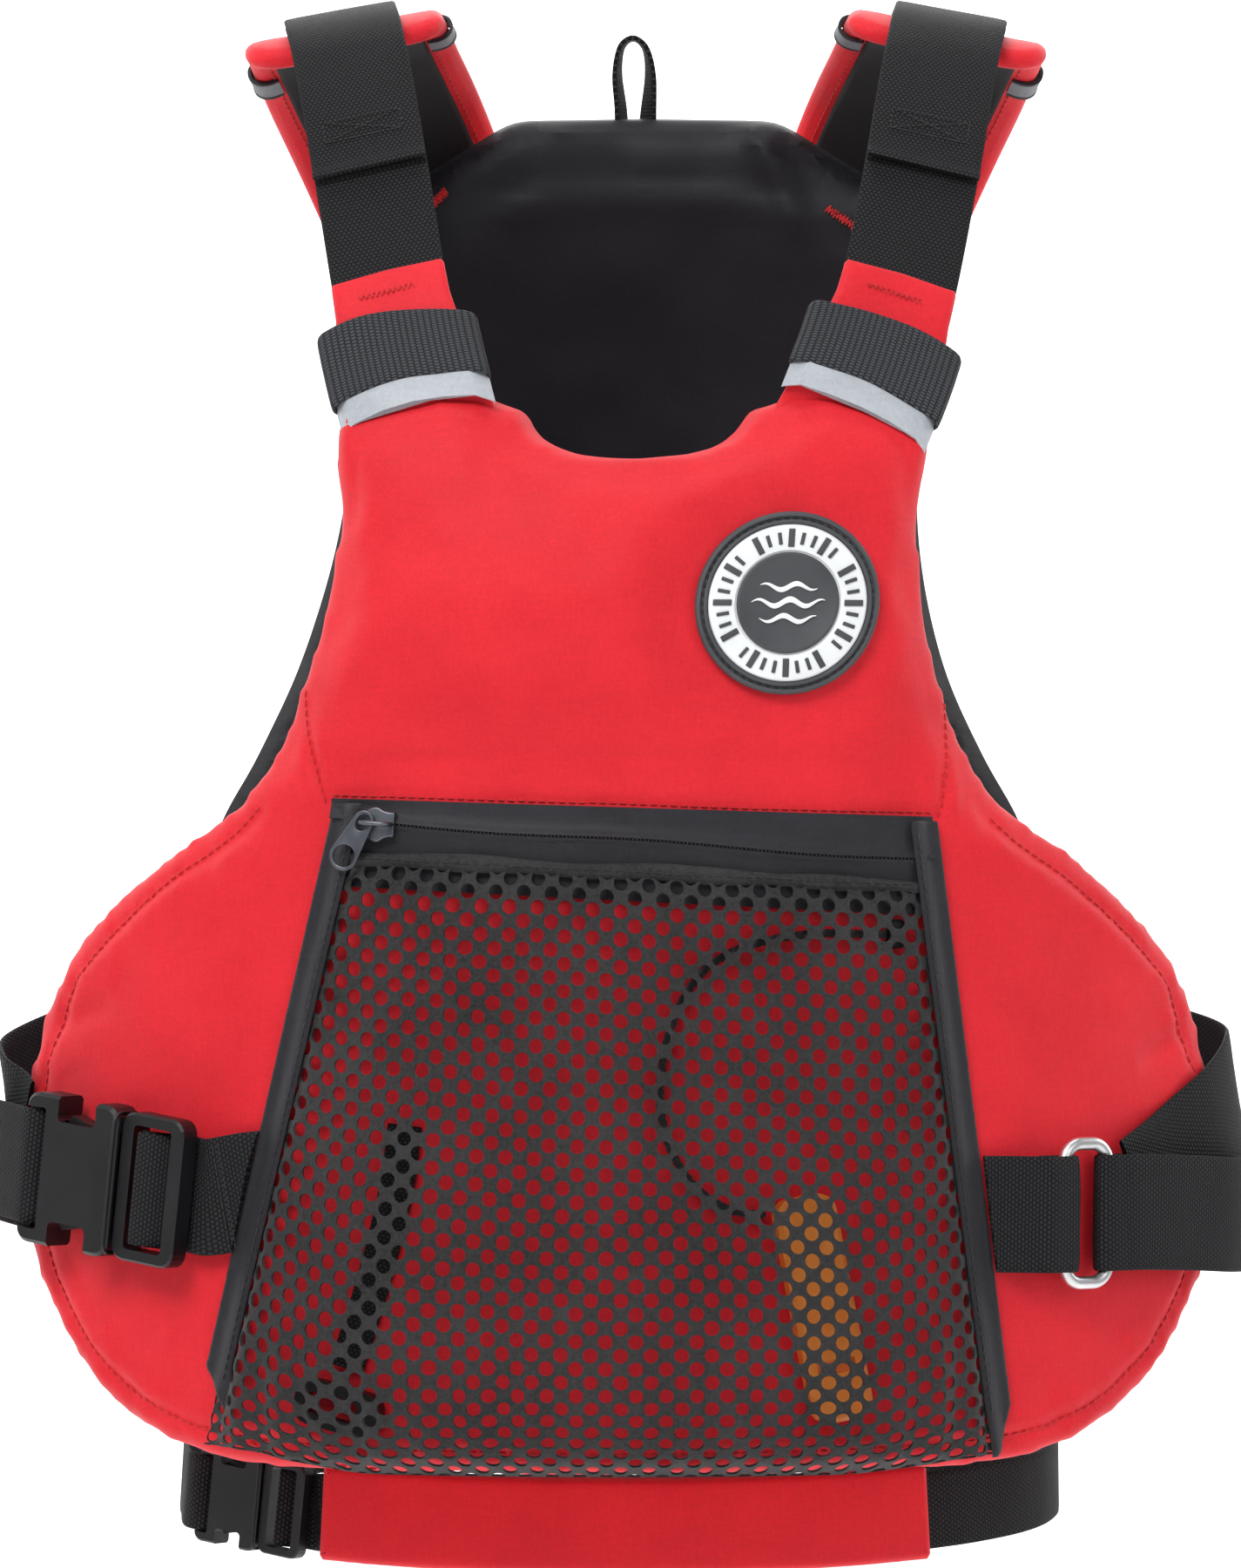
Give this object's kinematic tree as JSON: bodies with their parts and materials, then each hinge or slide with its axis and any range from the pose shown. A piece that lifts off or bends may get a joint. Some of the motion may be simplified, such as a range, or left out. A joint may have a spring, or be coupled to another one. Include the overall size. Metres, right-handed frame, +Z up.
{
  "type": "life jacket",
  "caption": "Paddling life jacket with foam front and back panels, zipped mesh chest pocket, padded shoulder straps, side and waist belts with side-release buckles.",
  "frame": {"origin": "inside top of the webbing hang loop at the back of the neck", "axes": "+Z up as worn, -Y out of the chest towards someone facing the front, +X to that viewer's right"},
  "size_m": [0.4254, 0.2729, 0.5238],
  "materials": {
    "red_cloth": "woven nylon, dull",
    "black_cloth": "woven nylon, dull",
    "foam": "closed-cell foam, hidden",
    "black_webbing": "woven polypropylene webbing",
    "neoprene": "dull",
    "reflective_tape": "grey retro-reflective weave",
    "black_mesh": "knitted mesh",
    "black_plastic": "satin moulded",
    "zip_metal": "dark satin",
    "steel": "polished",
    "orange_plastic": "glossy",
    "badge_dark": "matt moulded rubber",
    "badge_light": "matt moulded rubber"
  },
  "bodies": {
    "jacket": {"back_cover": "red_cloth", "back_foam": "foam", "back_lining": "black_cloth", "badge_centre": "badge_dark", "badge_rim": "badge_dark", "badge_ring": "badge_light", "front_cover": "red_cloth", "front_foam": "foam", "front_lining": "black_cloth", "hang_loop": "black_webbing", "keeper_band_left": "black_webbing", "keeper_band_right": "black_webbing", "key_clip": "black_plastic", "key_tether": "black_webbing", "lanyard_anchor": "black_webbing", "pad_neoprene_left": "neoprene", "pad_neoprene_right": "neoprene", "pad_reflective_band_left": "reflective_tape", "pad_reflective_band_right": "reflective_tape", "pocket_binding_left": "black_cloth", "pocket_binding_right": "black_cloth", "pocket_mesh": "black_mesh", "reflective_tape_left": "reflective_tape", "reflective_tape_right": "reflective_tape", "shoulder_pad_left": "red_cloth", "shoulder_pad_right": "red_cloth", "shoulder_tab_left": "red_cloth", "shoulder_tab_right": "red_cloth", "shoulder_webbing_left": "black_webbing", "shoulder_webbing_right": "black_webbing", "side_belt_left": "black_webbing", "side_belt_left_return": "black_webbing", "side_belt_right": "black_webbing", "side_belt_right_return": "black_webbing", "side_buckle_male": "black_plastic", "side_stub_left": "black_webbing", "side_stub_right": "black_webbing", "strap_tail_left": "black_webbing", "strap_tail_right": "black_webbing", "waist_belt": "black_webbing", "waist_belt_front": "black_webbing", "waist_belt_left": "black_webbing", "waist_buckle_male": "black_plastic", "waist_sleeve": "red_cloth", "whistle": "orange_plastic", "whistle_lanyard": "black_webbing", "zip_coil": "black_plastic", "zip_tape_lower": "black_cloth", "zip_tape_upper": "black_cloth"},
    "side_housing": {"side_buckle_female": "black_plastic"},
    "side_latch_upper": {"side_buckle_latch_upper": "black_plastic"},
    "side_latch_lower": {"side_buckle_latch_lower": "black_plastic"},
    "waist_housing": {"waist_buckle_female": "black_plastic"},
    "waist_latch_upper": {"waist_buckle_latch_upper": "black_plastic"},
    "waist_latch_lower": {"waist_buckle_latch_lower": "black_plastic"},
    "zip_slider": {"zip_slider": "zip_metal"},
    "zip_puller": {"zip_puller": "zip_metal"},
    "belt_ring": {"belt_ring": "steel"}
  },
  "joints": [
    {"name": "side_buckle_release", "type": "slide", "parent": "jacket", "child": "side_housing", "axis": [-0.7725, 0.6215, 0.1305], "range_m": [0, 0.025], "deforming": ["side_belt_left", "side_belt_left_return"]},
    {"name": "side_latch_upper_flex", "type": "hinge", "parent": "jacket", "child": "side_latch_upper", "pos_m": [-0.16699, -0.16226, -0.3744], "axis": [-0.6269, -0.7791, 0], "range_deg": [0, 16]},
    {"name": "side_latch_lower_flex", "type": "hinge", "parent": "jacket", "child": "side_latch_lower", "pos_m": [-0.16974, -0.16005, -0.40117], "axis": [0.6269, 0.7791, 0], "range_deg": [0, 16]},
    {"name": "waist_buckle_release", "type": "slide", "parent": "jacket", "child": "waist_housing", "axis": [-0.7902, 0.6006, 0.1219], "range_m": [0, 0.01625], "deforming": ["waist_belt_left"]},
    {"name": "waist_latch_upper_flex", "type": "hinge", "parent": "jacket", "child": "waist_latch_upper", "pos_m": [-0.12216, -0.12875, -0.48694], "axis": [-0.6051, -0.7962, 0], "range_deg": [0, 16]},
    {"name": "waist_latch_lower_flex", "type": "hinge", "parent": "jacket", "child": "waist_latch_lower", "pos_m": [-0.12387, -0.12746, -0.50436], "axis": [0.6051, 0.7962, 0], "range_deg": [0, 16]},
    {"name": "zip_slide", "type": "hinge", "parent": "jacket", "child": "zip_slider", "pos_m": [-0.0045, 0.052, -0.275], "axis": [0.0678, 0, 0.9977], "range_deg": [0, 36]},
    {"name": "zip_pull_lift", "type": "hinge", "parent": "zip_slider", "child": "zip_puller", "pos_m": [-0.08505, -0.20272, -0.26952], "axis": [0.5356, -0.1468, 0.8316], "range_deg": [0, 120]},
    {"name": "ring_swing", "type": "hinge", "parent": "jacket", "child": "belt_ring", "pos_m": [0.1409, -0.17115, -0.3975], "axis": [0, 0, -1], "range_deg": [0, 25], "deforming": ["side_belt_right", "side_belt_right_return"]}
  ],
  "couplings": [
    {"joint": "side_latch_upper_flex", "follows": "side_buckle_release", "rad_per_m": 11.17},
    {"joint": "side_latch_lower_flex", "follows": "side_buckle_release", "rad_per_m": 11.17},
    {"joint": "waist_latch_upper_flex", "follows": "waist_buckle_release", "rad_per_m": 17.185},
    {"joint": "waist_latch_lower_flex", "follows": "waist_buckle_release", "rad_per_m": 17.185}
  ]
}
